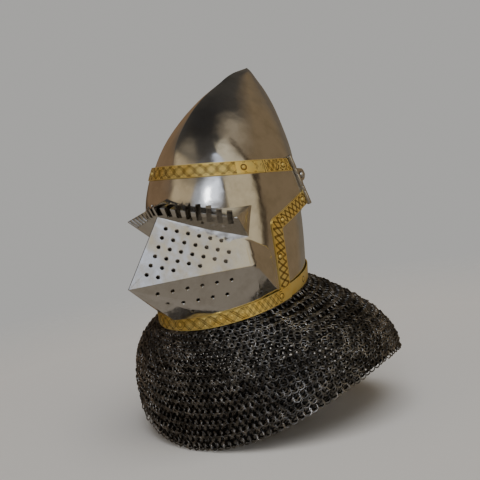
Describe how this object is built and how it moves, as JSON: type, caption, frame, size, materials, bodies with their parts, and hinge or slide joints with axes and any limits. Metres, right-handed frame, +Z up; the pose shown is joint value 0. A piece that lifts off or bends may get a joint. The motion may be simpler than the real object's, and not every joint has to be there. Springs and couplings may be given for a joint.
{
  "type": "pig-faced bascinet with mail aventail",
  "caption": "Pointed steel war helmet with a snouted visor that lifts on side pivots, brass bands and a mail collar that hangs from its rim.",
  "frame": {"origin": "the point of the crown's inner face that a head carries, above the middle of the bowl", "axes": "+Z up, -Y the way the face looks, +X the wearer's left"},
  "size_m": [0.42, 0.448, 0.512],
  "materials": {
    "polished_steel": "polished",
    "hinge_steel": "satin",
    "brass": "polished",
    "black_mail": "blackened wire"
  },
  "bodies": {
    "bowl": {"skull": "polished_steel", "nape_band": "brass", "pivot_post_left": "hinge_steel", "pivot_post_right": "hinge_steel", "stop_rivet_left": "hinge_steel", "stop_rivet_right": "hinge_steel", "rivet_nape_1": "brass", "rivet_nape_2": "brass", "rivet_nape_3": "brass", "rivet_nape_4": "brass", "aventail": "black_mail"},
    "face_plate": {"visor": "polished_steel", "brow_band": "brass", "chin_band": "brass", "side_band_left": "brass", "side_band_right": "brass", "hinge_leaf_left": "hinge_steel", "hinge_leaf_right": "hinge_steel", "pivot_arm_left": "hinge_steel", "pivot_arm_right": "hinge_steel", "hinge_pin_left": "hinge_steel", "hinge_pin_right": "hinge_steel", "rivet_brow_1": "brass", "rivet_brow_2": "brass", "rivet_brow_3": "brass", "rivet_brow_4": "brass", "rivet_chin_1": "brass", "rivet_chin_2": "brass", "rivet_chin_3": "brass", "rivet_side_left_1": "brass", "rivet_side_right_1": "brass", "rivet_side_left_2": "brass", "rivet_side_right_2": "brass", "rivet_side_left_3": "brass", "rivet_side_right_3": "brass"}
  },
  "joints": [
    {"name": "visor_lift", "type": "hinge", "parent": "bowl", "child": "face_plate", "pos_m": [0, 0.005, -0.153], "axis": [-1, 0, 0], "range_deg": [0, 60]}
  ]
}
